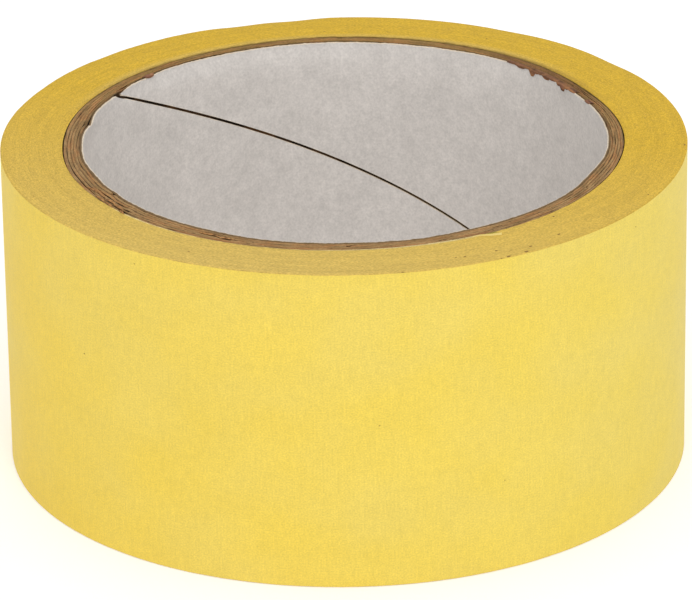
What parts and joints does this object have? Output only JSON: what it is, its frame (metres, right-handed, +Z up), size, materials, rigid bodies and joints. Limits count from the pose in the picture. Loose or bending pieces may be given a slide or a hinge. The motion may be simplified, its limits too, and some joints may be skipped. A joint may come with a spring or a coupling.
{
  "type": "masking tape roll",
  "caption": "Roll of wide crepe-paper masking tape wound on a spiral paperboard core, with a free end that peels off the outer turn.",
  "frame": {"origin": "centre of the bottom side face, on the roll's axis", "axes": "+Z up along the roll's axis; +X points to within 2 degrees of the place where the liner's seam leaves the bottom of the bore"},
  "size_m": [0.1, 0.1, 0.048],
  "materials": {
    "liner_paper": "matt grey-white liner paper",
    "kraft_board": "matt brown kraft board",
    "tape_edge": "matt slit edges of wound tape",
    "crepe_paper": "matt yellow crepe paper"
  },
  "bodies": {
    "roll": {"core_liner": "liner_paper", "core_ply_1": "kraft_board", "core_ply_2": "kraft_board", "core_ply_3": "kraft_board", "core_ply_4": "kraft_board", "core_ply_5": "kraft_board", "tape_first_turn": "crepe_paper", "tape_pack": "tape_edge", "tape_outer_turn": "crepe_paper"},
    "tape_end": {"tape_free_end": "crepe_paper"}
  },
  "joints": [
    {"name": "peel", "type": "hinge", "parent": "roll", "child": "tape_end", "pos_m": [-0.0433, 0.025, 0.024], "axis": [0, 0, 1], "range_deg": [0, 90]}
  ]
}
